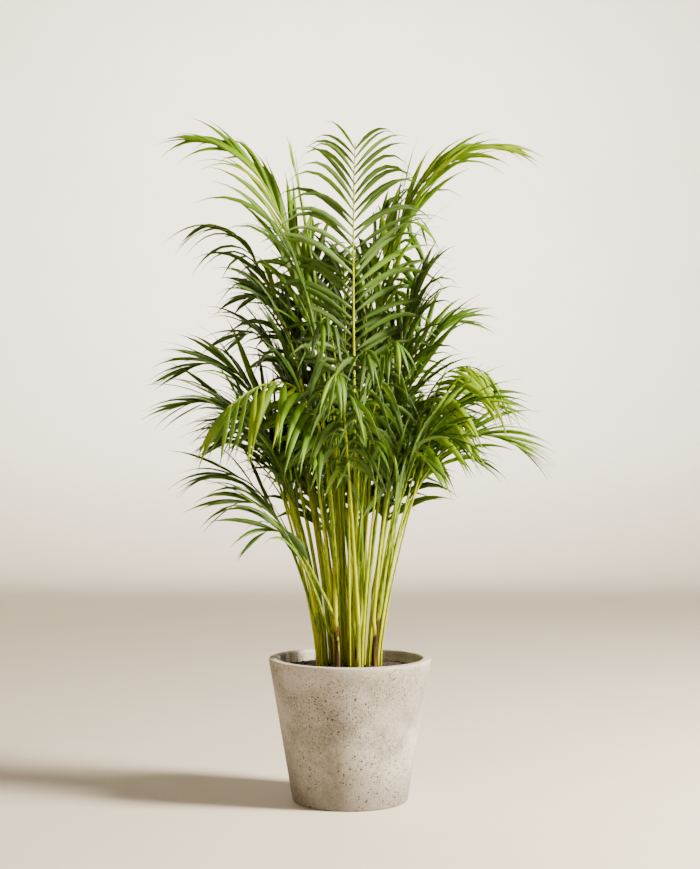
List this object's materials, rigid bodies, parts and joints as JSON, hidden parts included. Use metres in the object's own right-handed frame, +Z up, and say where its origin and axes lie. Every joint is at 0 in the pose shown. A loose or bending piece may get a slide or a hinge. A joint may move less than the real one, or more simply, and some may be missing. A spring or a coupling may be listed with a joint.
{
  "type": "potted palm",
  "caption": "Clump-forming cane palm with arching feather fronds, planted in a round tapered concrete planter.",
  "frame": {"origin": "centre of the planter's underside, on the floor it stands on", "axes": "+Z up along the planter's axis; -Y is the plant's front and +X its right as seen from the front"},
  "size_m": [0.8068, 0.606, 1.3891],
  "materials": {
    "planter": "matte",
    "potting_mix": "matte",
    "cane": "satin",
    "frond": "satin"
  },
  "bodies": {
    "root": {"planter": "planter", "potting_mix": "potting_mix", "cane_a": "cane", "cane_b": "cane", "cane_c": "cane", "cane_d": "cane", "cane_e": "cane", "cane_f": "cane", "cane_g": "cane", "cane_h": "cane", "cane_i": "cane", "cane_j": "cane", "cane_k": "cane", "cane_l": "cane", "cane_m": "cane", "cane_n": "cane", "frond_l_top": "frond", "frond_j_top": "frond", "frond_m_top": "frond", "frond_l_middle": "frond", "frond_j_middle": "frond", "frond_j_low": "frond", "frond_e_top": "frond", "frond_f_top": "frond", "frond_g_top": "frond", "frond_h_top": "frond", "frond_i_top": "frond", "frond_a_top": "frond", "frond_b_top": "frond", "frond_a_middle": "frond", "frond_e_middle": "frond", "frond_f_middle": "frond", "frond_i_middle": "frond", "frond_e_low": "frond", "frond_f_low": "frond", "frond_g_low": "frond", "frond_g_middle": "frond", "frond_i_low": "frond", "frond_h_low": "frond", "frond_a_low": "frond", "frond_n_top": "frond", "frond_n_middle": "frond", "frond_n_low": "frond", "frond_l_low": "frond", "frond_m_middle": "frond", "frond_m_low": "frond", "frond_k_top": "frond", "frond_k_middle": "frond", "frond_k_low": "frond", "frond_c_top": "frond", "frond_d_top": "frond", "frond_h_middle": "frond", "frond_b_middle": "frond", "frond_c_middle": "frond", "frond_d_middle": "frond", "frond_b_low": "frond", "frond_c_low": "frond", "frond_d_low": "frond"}
  },
  "joints": []
}
